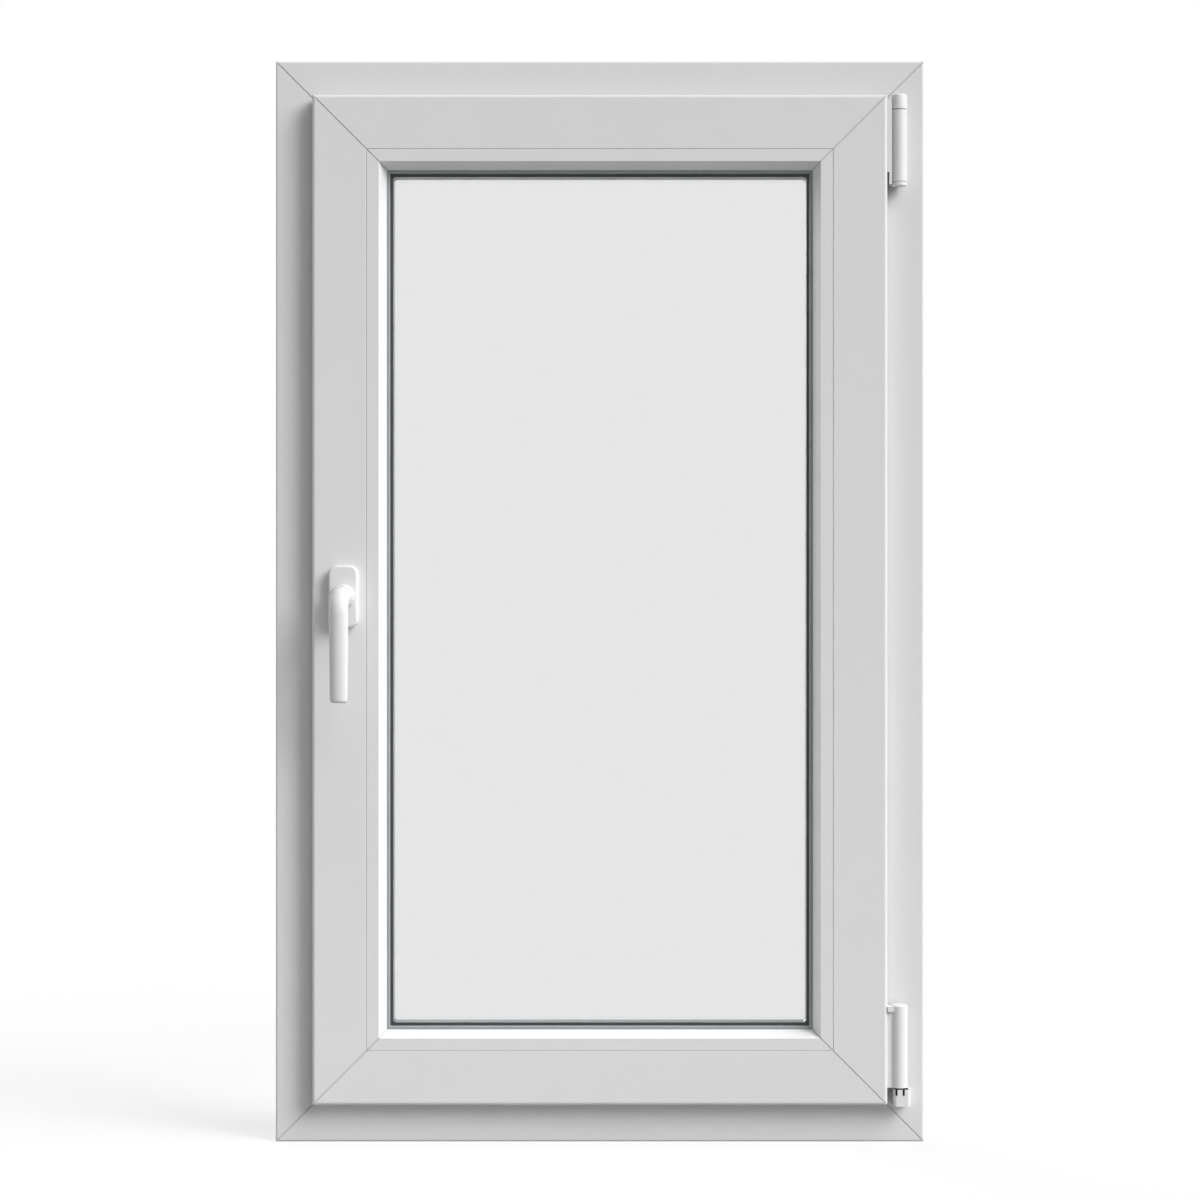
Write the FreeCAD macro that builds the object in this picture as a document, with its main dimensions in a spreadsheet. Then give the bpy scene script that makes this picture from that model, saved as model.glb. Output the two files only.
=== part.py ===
import FreeCAD, Part
import os
import Sketcher

# Tilt and turn window of plastic profiles: a mitred frame of hollow bars, a mitred sash that laps over it,
# clipped glazing beads, a sealed double glass unit, two hinges on the right and a lever handle on the left.
# X runs to the right seen from the room, +Y to the outside and +Z up.
# The origin is the middle of the sill's underside, in the middle of the frame's depth.

doc = FreeCAD.newDocument("tilt_turn_window")
sheet = doc.addObject("Spreadsheet::Sheet", "sizes")

# Driving dimensions in millimetres and degrees: alias, value, meaning.
SIZES = (
    ("window_width", 600, "outer width of the frame"),
    ("window_height", 1000, "outer height of the frame"),
    ("frame_depth", 70, "room face to outside face"),
    ("frame_face", 43, "height of the frame's room face"),
    ("frame_stop_reach", 66, "outer edge to the tip of the outside stop"),
    ("frame_stop_bevel", 8, "fall of the stop's outside slope"),
    ("frame_stop_flat", 4, "flat tip of the stop before its slope"),
    ("frame_edge_radius", 2, "rounded front edges of the frame"),
    ("channel_width", 12, "drain channel in the frame's rebate"),
    ("channel_depth", 4, "depth of the drain channel"),
    ("channel_margin", 3, "drain channel to the stop"),
    ("anchor_groove_width", 10, "grooves round the frame's outer edge"),
    ("anchor_groove_depth", 3, "depth of those grooves"),
    ("anchor_groove_margin", 12, "groove to the nearest frame face"),
    ("profile_wall", 3, "outer walls of the hollow profiles"),
    ("profile_web", 2, "webs between their chambers"),
    ("frame_room_web", 16, "frame's room face to its first web"),
    ("frame_outer_web", 46, "frame's room face to its second web"),
    ("sash_outer_web", 40, "sash room face to its second web"),
    ("sash_overlap", 7.5, "sash lip over the frame's room face"),
    ("sash_lift", 1.5, "how far the sash is set up above centre"),
    ("sash_depth", 70, "room face to outside face of the sash"),
    ("sash_projection", 17, "sash room face in front of the frame's"),
    ("sash_wall_setback", 20, "sash lip edge to the wall in the frame's rebate"),
    ("sash_face", 50, "height of the sash's room face"),
    ("sash_upstand_reach", 71.6, "sash edge to the tip of the outside upstand"),
    ("sash_upstand_flat", 4, "flat tip of the upstand before its slope"),
    ("sash_upstand_bevel", 8, "fall of the upstand's outside slope"),
    ("sash_edge_radius", 3, "rounded front outer edge of the sash"),
    ("sash_inner_radius", 0.8, "eased edge beside the bead"),
    ("fitting_groove_width", 16, "groove for the fittings in the sash wall"),
    ("fitting_groove_depth", 4, "depth of the fittings groove"),
    ("fitting_groove_start", 22, "sash room face to the fittings groove"),
    ("seam_width", 1.1, "cleaned weld groove along each front mitre"),
    ("seam_depth", 0.6, "depth of that groove"),
    ("bead_flat", 11.3, "flat front of the bead"),
    ("bead_slope", 6.5, "height of the bead's sloping front"),
    ("bead_depth", 12, "bead room face to its toe"),
    ("bead_line", 0.2, "fine gap between sash face and bead"),
    ("bead_line_depth", 1.5, "depth of that gap"),
    ("bead_heel", 5, "lower end of the bead's back"),
    ("bead_foot_start", 5, "bead room face to its clip foot"),
    ("bead_foot_width", 3, "thickness of the clip foot"),
    ("bead_foot_reach", 2.5, "how far the clip foot reaches in"),
    ("clip_clearance", 0.2, "room round the clip foot"),
    ("glass_gap", 5, "rebate floor to the glass edge"),
    ("pane_thickness", 4, "each glass pane"),
    ("cavity_width", 16, "space between the panes"),
    ("spacer_setback", 11, "glass edge to the spacer"),
    ("spacer_width", 7.3, "height of the spacer"),
    ("spacer_corner_radius", 3, "inner corners of the spacer"),
    ("inner_gasket_thickness", 3, "bead to glass"),
    ("inner_gasket_width", 8.8, "seen width and hidden seat of the inner gasket"),
    ("inner_gasket_shown", 3, "inner gasket past the bead's toe"),
    ("gasket_lip", 1, "slope of the inner gasket's lip"),
    ("outer_gasket_thickness", 3.5, "upstand to glass"),
    ("outer_gasket_width", 8, "height of the outer gasket"),
    ("outer_gasket_shown", 0.5, "outer gasket past the upstand"),
    ("overlap_seal_gap", 3.5, "sash lip to the frame's room face"),
    ("overlap_seal_inset", 2, "sash edge to its seal"),
    ("overlap_seal_width", 3.5, "height of the sash seal"),
    ("stop_seal_gap", 3, "sash to the frame's stop"),
    ("stop_seal_inset", 2, "tip of the stop to its seal"),
    ("stop_seal_width", 6, "height of the stop seal"),
    ("block_length", 100, "setting blocks under the glass"),
    ("block_margin", 50, "glass corner to its setting block"),
    ("handle_offset", 29.5, "sash edge to the handle's axis"),
    ("handle_rise", 3, "middle of the sash to the handle's axis"),
    ("rosette_width", 27, "width of the handle's base"),
    ("rosette_height", 57, "height of the handle's base"),
    ("rosette_thickness", 10, "thickness of the handle's base"),
    ("rosette_corner_radius", 6, "corners of the handle's base"),
    ("rosette_edge_bevel", 2, "bevelled front edge of the handle's base"),
    ("collar_radius", 11, "round collar of the lever on its base"),
    ("collar_height", 12, "height of that collar"),
    ("neck_straight", 24, "straight part of the neck"),
    ("elbow_half_width", 8.6, "half width of the lever round its bend"),
    ("elbow_half_depth", 8.4, "half thickness at the start of the bend"),
    ("elbow_radius", 16, "bend of the lever's middle line"),
    ("grip_top_half_depth", 7.4, "half thickness at the top of the grip"),
    ("grip_middle_half_width", 8.5, "half width halfway down the grip"),
    ("grip_middle_half_depth", 6.9, "half thickness halfway down the grip"),
    ("grip_end_half_width", 7.9, "half width at the end of the grip"),
    ("grip_end_half_depth", 6, "half thickness at the end of the grip"),
    ("grip_length", 96, "handle axis to the end of the grip"),
    ("grip_end_radius", 3, "rounded end of the grip"),
    ("hinge_offset", 11.5, "sash edge to the hinge axis"),
    ("hinge_standoff", 9.5, "frame room face to the hinge axis"),
    ("top_barrel_radius", 7.2, "upper hinge barrel"),
    ("top_hinge_drop", 33, "top of the frame to the upper hinge's cap"),
    ("top_ring_height", 3.7, "foot ring of the upper hinge"),
    ("top_bearing_height", 65.9, "barrel between foot ring and cap"),
    ("top_cap_height", 14.4, "cap of the upper hinge"),
    ("cap_edge_bevel", 1.2, "bevelled tops of the hinge covers"),
    ("top_seam", 0.8, "grooved line between the barrel's pieces"),
    ("leaf_inset", 2, "sash room face to the upper leaf"),
    ("leaf_depth", 8, "leaf along the sash edge"),
    ("leaf_notch_width", 1.8, "slot beside the leaf's lower end"),
    ("leaf_notch_height", 11, "height of that slot"),
    ("leaf_foot_margin", 1, "foot ring's underside to the upper leaf"),
    ("leaf_head_margin", 5, "upper leaf to the top of the cap"),
    ("pin_radius", 3, "hinge pins"),
    ("pin_tip", 1, "upper pin under its foot ring"),
    ("bearing_leg_width", 8, "leg of the upper bearing on the frame"),
    ("bottom_barrel_radius", 7.7, "lower hinge barrel"),
    ("bottom_barrel_base", 52.5, "sill to the lower barrel"),
    ("bottom_barrel_height", 76, "height of the lower barrel"),
    ("lug_height", 4.5, "lug at the top of the lower leaf"),
    ("lug_width", 5.5, "lug out from the sash edge"),
    ("rest_base", 35.6, "sill to the lower pivot rest"),
    ("rest_gap", 1.5, "pivot rest to the lower barrel"),
    ("rest_left", 5.6, "sash edge to the pivot rest"),
    ("rest_width", 15.5, "width of the pivot rest"),
    ("rest_projection", 17, "pivot rest in front of the frame"),
    ("rest_edge_radius", 3, "rounded front edges of the pivot rest"),
    ("rest_slot_width", 2, "slots in the pivot rest's top"),
    ("rest_slot_depth", 5.5, "depth of those slots"),
    ("rest_slot_spread", 6.6, "slot to slot"),
    ("bottom_pin_length", 24, "lower hinge pin"),
    ("drain_cap_width", 42, "drain cap on the sill's outside"),
    ("drain_cap_height", 12, "height of the drain cap"),
    ("drain_cap_depth", 5, "drain cap in front of the sill"),
    ("drain_cap_wall", 1.5, "wall of the drain cap"),
    ("drain_cap_rise", 18, "sill underside to the drain cap"),
    ("drain_cap_spacing", 300, "drain cap to drain cap"),
    ("drain_slot_width", 30, "drain slot behind each cap"),
    ("drain_slot_height", 5, "height of the drain slot"),
    ("drain_slot_depth", 6, "depth of the drain slot"),
)

for row, (alias, value, meaning) in enumerate(SIZES, start=1):
    sheet.set(f"A{row}", alias)
    sheet.set(f"B{row}", str(value))
    sheet.set(f"C{row}", meaning)
    sheet.setAlias(f"B{row}", alias)
doc.recompute()

# Places and spans worked out from the sheet.
FRAME_FRONT = "(-sizes.frame_depth / 2)"
FRAME_BACK = "(sizes.frame_depth / 2)"
SASH_MARGIN = "(sizes.frame_face - sizes.sash_overlap)"
SASH_WIDTH = f"(sizes.window_width - 2 * {SASH_MARGIN})"
SASH_HEIGHT = f"(sizes.window_height - 2 * {SASH_MARGIN})"
SASH_BOTTOM = f"({SASH_MARGIN} + sizes.sash_lift)"
SASH_MIDDLE = f"({SASH_BOTTOM} + {SASH_HEIGHT} / 2)"
SASH_SIDE = f"({SASH_WIDTH} / 2)"
SASH_FRONT = f"({FRAME_FRONT} - sizes.sash_projection)"
SASH_LIP = "(sizes.sash_projection - sizes.overlap_seal_gap)"
SASH_BACK = f"({SASH_FRONT} + sizes.sash_depth)"
STOP_FRONT = "(sizes.sash_depth - sizes.sash_projection + sizes.stop_seal_gap)"
BEAD_WIDTH = f"({SASH_WIDTH} - 2 * sizes.sash_face)"
BEAD_HEIGHT = f"({SASH_HEIGHT} - 2 * sizes.sash_face)"
BEAD_TOE = "(sizes.bead_flat + sizes.bead_slope)"
INNER_PANE = "(sizes.bead_depth + sizes.inner_gasket_thickness)"
CAVITY = f"({INNER_PANE} + sizes.pane_thickness)"
OUTER_PANE = f"({CAVITY} + sizes.cavity_width)"
OUTER_GASKET = f"({OUTER_PANE} + sizes.pane_thickness)"
UPSTAND = f"({OUTER_GASKET} + sizes.outer_gasket_thickness)"
GLASS_MARGIN = "(sizes.sash_face + sizes.glass_gap)"
HINGE_X = f"({SASH_SIDE} + sizes.hinge_offset)"
HINGE_Y = f"({FRAME_FRONT} - sizes.hinge_standoff)"
FULL_REACH = "(sizes.sash_upstand_reach + sizes.frame_stop_reach)"
LEVER_REACH = "(sizes.neck_straight + sizes.elbow_radius)"
ELBOW_STEPS = 5
NEAR = 1e-4


def worth(expression):
    # The number that an expression over the sheet stands for.
    return float(sheet.evalExpression(expression))


def new_body(name):
    body = doc.addObject("PartDesign::Body", name)
    body.Label = name
    return body


def origin_plane(body, role):
    return [feature for feature in body.Origin.OriginFeatures if feature.Role == role][0]


def new_sketch(body, name, role):
    sketch = body.newObject("Sketcher::SketchObject", f"{body.Name}_{name}")
    sketch.AttachmentSupport = [(origin_plane(body, role), "")]
    sketch.MapMode = "FlatFace"
    return sketch


def bind(sketch, constraint, expression):
    # Adds one constraint and ties its value to the sheet.
    index = sketch.addConstraint(constraint)
    sketch.setExpression(f"Constraints[{index}]", expression)


def polygon(sketch, corners):
    # A closed outline whose corners are pairs of expressions, across and up the sketch.
    first = sketch.GeometryCount
    count = len(corners)
    points = [FreeCAD.Vector(worth(across), worth(up), 0) for across, up in corners]
    sketch.addGeometry([Part.LineSegment(points[i], points[(i + 1) % count]) for i in range(count)], False)
    sketch.addConstraint([
        Sketcher.Constraint("Coincident", first + i, 2, first + (i + 1) % count, 1) for i in range(count)
    ])
    distances = []
    for line, point in enumerate(points, start=first):
        distances.append(Sketcher.Constraint("DistanceX", -1, 1, line, 1, point.x))
        distances.append(Sketcher.Constraint("DistanceY", -1, 1, line, 1, point.y))
    expressions = [expression for corner in corners for expression in corner]
    for index, expression in zip(sketch.addConstraint(distances), expressions):
        sketch.setExpression(f"Constraints[{index}]", expression)


def rectangle(sketch, left, bottom, right, top):
    polygon(sketch, ((left, bottom), (right, bottom), (right, top), (left, top)))


def circle(sketch, across, up, radius):
    centre = FreeCAD.Vector(worth(across), worth(up), 0)
    ring = sketch.addGeometry(Part.Circle(centre, FreeCAD.Vector(0, 0, 1), worth(radius)), False)
    bind(sketch, Sketcher.Constraint("DistanceX", -1, 1, ring, 3, worth(across)), across)
    bind(sketch, Sketcher.Constraint("DistanceY", -1, 1, ring, 3, worth(up)), up)
    bind(sketch, Sketcher.Constraint("Radius", ring, worth(radius)), radius)


def oval(sketch, half_width, half_height):
    # An ellipse about the sketch's origin, its long axis across.
    centre = FreeCAD.Vector(0, 0, 0)
    side = FreeCAD.Vector(worth(half_width), 0, 0)
    crown = FreeCAD.Vector(0, worth(half_height), 0)
    ring = sketch.addGeometry(Part.Ellipse(side, crown, centre), False)
    sketch.exposeInternalGeometry(ring)
    long_axis, short_axis = ring + 1, ring + 2
    sketch.addConstraint(Sketcher.Constraint("Coincident", ring, 3, -1, 1))
    sketch.addConstraint(Sketcher.Constraint("Horizontal", long_axis))
    width, height = f"2 * {half_width}", f"2 * {half_height}"
    bind(sketch, Sketcher.Constraint("Distance", long_axis, worth(width)), width)
    bind(sketch, Sketcher.Constraint("Distance", short_axis, worth(height)), height)


def pad(body, sketch, length, symmetric=False, turned=False):
    feature = body.newObject("PartDesign::Pad", f"{sketch.Name}_pad")
    feature.Profile = sketch
    feature.setExpression("Length", length)
    feature.SideType = "Symmetric" if symmetric else "One side"
    feature.Reversed = turned
    sketch.Visibility = False
    doc.recompute()
    return feature


def pocket(body, sketch, depth=None, turned=False):
    # Cuts to a depth, or right through both ways where none is given.
    before = body.Shape.Volume
    feature = body.newObject("PartDesign::Pocket", f"{sketch.Name}_pocket")
    feature.Profile = sketch
    if depth is None:
        feature.Type = "ThroughAll"
        feature.SideType = "Symmetric"
    else:
        feature.setExpression("Length", depth)
        feature.Reversed = turned
    doc.recompute()
    if body.Shape.Volume > before - NEAR:
        raise RuntimeError(f"{feature.Name} removes nothing")
    return feature


def edges_where(shape, test):
    return [f"Edge{number}" for number, edge in enumerate(shape.Edges, start=1) if test(edge)]


def lengthwise(shape, depth, inward):
    # Edges along X at one place of the section.
    def matches(edge):
        ends = [vertex.Point for vertex in edge.Vertexes]
        return len(ends) == 2 and all(abs(p.y - depth) < NEAR and abs(p.z - inward) < NEAR for p in ends)

    return edges_where(shape, matches)


def dress(body, kind, edges, size_property, size):
    # Rounds or bevels the named edges of the body as it stands.
    if not edges:
        raise RuntimeError(f"{body.Name} has no edge for its {kind}")
    base = body.Tip
    feature = body.newObject(f"PartDesign::{kind}", f"{body.Name}_{kind.lower()}")
    feature.Base = (base, edges)
    feature.setExpression(size_property, size)
    doc.recompute()
    return feature


def round_edges(body, edges, radius):
    return dress(body, "Fillet", edges, "Radius", radius)


def bevel_edges(body, edges, size):
    return dress(body, "Chamfer", edges, "Size", size)


def place(item, across="0", out="0", up="0", turn=0):
    # Puts a piece at three expressions, turned about the vertical plane's normal.
    item.Placement = FreeCAD.Placement(
        FreeCAD.Vector(worth(across), worth(out), worth(up)),
        FreeCAD.Rotation(FreeCAD.Vector(0, 1, 0), turn),
    )
    item.setExpression("Placement.Base.x", across)
    item.setExpression("Placement.Base.y", out)
    item.setExpression("Placement.Base.z", up)


# Mitred profiles

def mitred_bar(name, length, section, chambers, rounded, seam_reach):
    # A profile along X, its outer edge on Z = 0 and its room face on Y = 0, mitred at both ends.
    body = new_body(name)
    sketch = new_sketch(body, "section", "YZ_Plane")
    polygon(sketch, section)
    for start, low, end, high in chambers:
        rectangle(sketch, start, low, end, high)
    pad(body, sketch, length, symmetric=True)
    for depth, inward, radius in rounded:
        round_edges(body, lengthwise(body.Shape, worth(depth), worth(inward)), radius)
    mitre = new_sketch(body, "mitre", "XZ_Plane")
    seam = new_sketch(body, "seam", "XZ_Plane")
    half_seam = "sizes.seam_width * sqrt(2) / 2"
    for side in ("", "-"):
        end = f"{side}({length} / 2)"
        far = f"{side}({length} / 2 + {FULL_REACH})"
        inner = f"{side}({length} / 2 - {FULL_REACH})"
        low = f"(0 - {FULL_REACH})"
        polygon(mitre, ((end, "0"), (far, low), (far, FULL_REACH), (inner, FULL_REACH)))
        polygon(seam, (
            (f"{side}({length} / 2 - {half_seam} + sizes.seam_width)", "0 - sizes.seam_width"),
            (f"{side}({length} / 2 + {half_seam} + sizes.seam_width)", "0 - sizes.seam_width"),
            (f"{side}({length} / 2 + {half_seam} - {seam_reach})", seam_reach),
            (f"{side}({length} / 2 - {half_seam} - {seam_reach})", seam_reach),
        ))
    pocket(body, mitre)
    pocket(body, seam, "sizes.seam_depth")
    return body


def four_sides(names, width, height, bottom, front, section, chambers, rounded, seam_reach):
    # The same profile on all four sides of a rectangle: bottom, top, left and right.
    middle = f"({bottom} + {height} / 2)"
    sides = (
        (width, 0, "0", bottom),
        (width, 180, "0", f"({bottom} + {height})"),
        (height, 90, f"(0 - {width} / 2)", middle),
        (height, -90, f"({width} / 2)", middle),
    )
    bars = []
    for name, (length, turn, across, up) in zip(names, sides):
        bar = mitred_bar(name, length, section, chambers, rounded, seam_reach)
        place(bar, across, front, up, turn)
        bars.append(bar)
    return bars


def frame_section():
    channel_end = f"({STOP_FRONT} - sizes.channel_margin)"
    channel_start = f"({channel_end} - sizes.channel_width)"
    channel_floor = "(sizes.frame_face - sizes.channel_depth)"
    groove = "sizes.anchor_groove_width"
    margin = "sizes.anchor_groove_margin"
    depth = "sizes.frame_depth"
    floor = "sizes.anchor_groove_depth"
    return (
        ("0", "0"),
        ("0", "sizes.frame_face"),
        (channel_start, "sizes.frame_face"),
        (channel_start, channel_floor),
        (channel_end, channel_floor),
        (channel_end, "sizes.frame_face"),
        (STOP_FRONT, "sizes.frame_face"),
        (STOP_FRONT, "sizes.frame_stop_reach"),
        (f"({STOP_FRONT} + sizes.frame_stop_flat)", "sizes.frame_stop_reach"),
        (depth, "(sizes.frame_stop_reach - sizes.frame_stop_bevel)"),
        (depth, "0"),
        (f"({depth} - {margin})", "0"),
        (f"({depth} - {margin})", floor),
        (f"({depth} - {margin} - {groove})", floor),
        (f"({depth} - {margin} - {groove})", "0"),
        (f"({margin} + {groove})", "0"),
        (f"({margin} + {groove})", floor),
        (margin, floor),
        (margin, "0"),
    )


def frame_chambers():
    # Room side, stiffener, outside and stop: from, low, to, high.
    wall, web = "sizes.profile_wall", "sizes.profile_web"
    low = f"(sizes.anchor_groove_depth + {wall})"
    high = f"(sizes.frame_face - sizes.channel_depth - {wall})"
    room_web, outer_web = "sizes.frame_room_web", "sizes.frame_outer_web"
    back = f"(sizes.frame_depth - {wall})"
    return (
        (wall, low, room_web, f"(sizes.frame_face - {wall})"),
        (f"({room_web} + {web})", low, outer_web, high),
        (f"({outer_web} + {web})", low, back, high),
        (
            f"({STOP_FRONT} + {wall})", f"({high} + {web})", back,
            f"(sizes.frame_stop_reach - sizes.frame_stop_bevel - {wall})",
        ),
    )


def sash_section():
    foot_start = "(sizes.bead_foot_start - sizes.clip_clearance)"
    foot_end = "(sizes.bead_foot_start + sizes.bead_foot_width + sizes.clip_clearance)"
    foot_floor = "(sizes.sash_face - sizes.bead_foot_reach - sizes.clip_clearance)"
    groove_end = "(sizes.fitting_groove_start + sizes.fitting_groove_width)"
    groove_floor = "(sizes.sash_wall_setback + sizes.fitting_groove_depth)"
    return (
        ("0", "0"),
        ("0", "sizes.sash_face"),
        (foot_start, "sizes.sash_face"),
        (foot_start, foot_floor),
        (foot_end, foot_floor),
        (foot_end, "sizes.sash_face"),
        (UPSTAND, "sizes.sash_face"),
        (UPSTAND, "sizes.sash_upstand_reach"),
        (f"({UPSTAND} + sizes.sash_upstand_flat)", "sizes.sash_upstand_reach"),
        ("sizes.sash_depth", "(sizes.sash_upstand_reach - sizes.sash_upstand_bevel)"),
        ("sizes.sash_depth", "sizes.sash_wall_setback"),
        (groove_end, "sizes.sash_wall_setback"),
        (groove_end, groove_floor),
        ("sizes.fitting_groove_start", groove_floor),
        ("sizes.fitting_groove_start", "sizes.sash_wall_setback"),
        (SASH_LIP, "sizes.sash_wall_setback"),
        (SASH_LIP, "0"),
    )


def sash_chambers():
    # Lip, stiffener, outside and upstand: from, low, to, high.
    wall, web = "sizes.profile_wall", "sizes.profile_web"
    lip_end = f"({SASH_LIP} - {wall})"
    outer_web = "sizes.sash_outer_web"
    high = f"(sizes.sash_face - {wall})"
    back = f"(sizes.sash_depth - {wall})"
    return (
        (wall, wall, lip_end, f"(sizes.sash_face - sizes.bead_foot_reach - sizes.clip_clearance - {wall})"),
        (
            f"({lip_end} + {web})", f"(sizes.sash_wall_setback + sizes.fitting_groove_depth + {wall})",
            outer_web, high,
        ),
        (f"({outer_web} + {web})", f"(sizes.sash_wall_setback + {wall})", back, high),
        (
            f"({UPSTAND} + {wall})", f"({high} + {web})", back,
            f"(sizes.sash_upstand_reach - sizes.sash_upstand_bevel - {wall})",
        ),
    )


def bead_section():
    foot_end = "(sizes.bead_foot_start + sizes.bead_foot_width)"
    return (
        ("0", "sizes.bead_line"),
        ("0", "sizes.bead_flat"),
        ("sizes.bead_depth", BEAD_TOE),
        ("sizes.bead_depth", "sizes.bead_heel"),
        (foot_end, "sizes.bead_heel"),
        (foot_end, "(0 - sizes.bead_foot_reach)"),
        ("sizes.bead_foot_start", "(0 - sizes.bead_foot_reach)"),
        ("sizes.bead_foot_start", "0"),
        ("sizes.bead_line_depth", "0"),
        ("sizes.bead_line_depth", "sizes.bead_line"),
    )


def build_profiles():
    frame = four_sides(
        ("frame_sill", "frame_head", "frame_jamb_left", "frame_jamb_right"),
        "sizes.window_width", "sizes.window_height", "0", FRAME_FRONT, frame_section(), frame_chambers(),
        (("0", "0", "sizes.frame_edge_radius"), ("0", "sizes.frame_face", "sizes.frame_edge_radius / 2")),
        "sizes.frame_face",
    )
    sash = four_sides(
        ("sash_bottom_rail", "sash_top_rail", "sash_lock_stile", "sash_hinge_stile"),
        SASH_WIDTH, SASH_HEIGHT, SASH_BOTTOM, SASH_FRONT, sash_section(), sash_chambers(),
        (("0", "0", "sizes.sash_edge_radius"), ("0", "sizes.sash_face", "sizes.sash_inner_radius")),
        "sizes.sash_face",
    )
    beads = four_sides(
        ("bead_bottom", "bead_top", "bead_left", "bead_right"),
        BEAD_WIDTH, BEAD_HEIGHT, f"({SASH_BOTTOM} + sizes.sash_face)", SASH_FRONT, bead_section(), (),
        (("0", "sizes.bead_line", "sizes.bead_line"),),
        "sizes.bead_flat",
    )
    return frame + sash + beads


def add_drain_slots(sill):
    # Slots for rain water in the sill's outside face, hidden by the drain caps.
    sketch = new_sketch(sill, "drain", "XZ_Plane")
    sketch.AttachmentOffset = FreeCAD.Placement(
        FreeCAD.Vector(0, 0, -worth("sizes.frame_depth")), FreeCAD.Rotation()
    )
    sketch.setExpression("AttachmentOffset.Base.z", "-sizes.frame_depth")
    low = "(sizes.drain_cap_rise + (sizes.drain_cap_height - sizes.drain_slot_height) / 2)"
    for side in ("", "-"):
        middle = f"{side}(sizes.drain_cap_spacing / 2)"
        rectangle(
            sketch, f"({middle} - sizes.drain_slot_width / 2)", low,
            f"({middle} + sizes.drain_slot_width / 2)", f"({low} + sizes.drain_slot_height)",
        )
    pocket(sill, sketch, "sizes.drain_slot_depth", turned=True)


# Glass unit and the rings round it

def ring(name, width, height, outer, inner, front, thickness, middle):
    # A flat ring: margins in from a rectangle's edge, from a front place outwards.
    body = new_body(name)
    sketch = new_sketch(body, "ring", "XZ_Plane")
    for margin in (outer, inner):
        half_width = f"({width} / 2 - {margin})"
        half_height = f"({height} / 2 - {margin})"
        rectangle(sketch, f"(0 - {half_width})", f"(0 - {half_height})", half_width, half_height)
    pad(body, sketch, thickness, turned=True)
    place(body, "0", front, middle)
    return body


def sash_ring(name, outer, inner, depth, thickness):
    return ring(
        name, SASH_WIDTH, SASH_HEIGHT, outer, inner, f"({SASH_FRONT} + {depth})", thickness, SASH_MIDDLE
    )


def pane(name, depth):
    sheet_glass = doc.addObject("Part::Box", name)
    sheet_glass.Label = name
    sheet_glass.setExpression("Length", f"{SASH_WIDTH} - 2 * {GLASS_MARGIN}")
    sheet_glass.setExpression("Width", "sizes.pane_thickness")
    sheet_glass.setExpression("Height", f"{SASH_HEIGHT} - 2 * {GLASS_MARGIN}")
    place(
        sheet_glass, f"(0 - {SASH_WIDTH} / 2 + {GLASS_MARGIN})", f"({SASH_FRONT} + {depth})",
        f"({SASH_BOTTOM} + {GLASS_MARGIN})",
    )
    return sheet_glass


def corner_edges(shape, half_width, half_height):
    # Edges along Y at the four corners of a rectangle about the origin.
    def matches(edge):
        ends = [vertex.Point for vertex in edge.Vertexes]
        along = len(ends) == 2 and abs(ends[0].y - ends[1].y) > NEAR
        return along and all(
            abs(abs(p.x) - half_width) < NEAR and abs(abs(p.z) - half_height) < NEAR for p in ends
        )

    return edges_where(shape, matches)


def build_glass():
    spacer_outer = f"({GLASS_MARGIN} + sizes.spacer_setback)"
    spacer_inner = f"({spacer_outer} + sizes.spacer_width)"
    spacer = sash_ring("glass_spacer", spacer_outer, spacer_inner, CAVITY, "sizes.cavity_width")
    half_width = worth(f"{SASH_WIDTH} / 2 - {spacer_inner}")
    half_height = worth(f"{SASH_HEIGHT} / 2 - {spacer_inner}")
    round_edges(spacer, corner_edges(spacer.Tip.Shape, half_width, half_height), "sizes.spacer_corner_radius")
    return [
        pane("glass_inner_pane", INNER_PANE),
        pane("glass_outer_pane", OUTER_PANE),
        spacer,
        sash_ring("glass_edge_seal", GLASS_MARGIN, spacer_outer, CAVITY, "sizes.cavity_width"),
    ]


def build_seals():
    toe = f"(sizes.sash_face + {BEAD_TOE})"
    inner_edge = f"({toe} + sizes.inner_gasket_shown)"
    inner = sash_ring(
        "gasket_inner", f"({inner_edge} - sizes.inner_gasket_width)", inner_edge,
        "sizes.bead_depth", "sizes.inner_gasket_thickness",
    )
    half_width = worth(f"{SASH_WIDTH} / 2 - {inner_edge}")
    half_height = worth(f"{SASH_HEIGHT} / 2 - {inner_edge}")

    def on_lip(edge):
        ends = [vertex.Point for vertex in edge.Vertexes]
        return all(
            abs(p.y) < NEAR and abs(p.x) < half_width + NEAR and abs(p.z) < half_height + NEAR for p in ends
        )

    bevel_edges(inner, edges_where(inner.Tip.Shape, on_lip), "sizes.gasket_lip")
    outer_edge = "(sizes.sash_upstand_reach + sizes.outer_gasket_shown)"
    outer = sash_ring(
        "gasket_outer", f"({outer_edge} - sizes.outer_gasket_width)", outer_edge,
        OUTER_GASKET, "sizes.outer_gasket_thickness",
    )
    overlap = sash_ring(
        "seal_sash", "sizes.overlap_seal_inset", "(sizes.overlap_seal_inset + sizes.overlap_seal_width)",
        SASH_LIP, "sizes.overlap_seal_gap",
    )
    stop_inner = "(sizes.frame_stop_reach - sizes.stop_seal_inset)"
    stop = ring(
        "seal_frame", "sizes.window_width", "sizes.window_height",
        f"({stop_inner} - sizes.stop_seal_width)", stop_inner, SASH_BACK, "sizes.stop_seal_gap",
        "(sizes.window_height / 2)",
    )
    return [inner, outer, overlap, stop]


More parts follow.
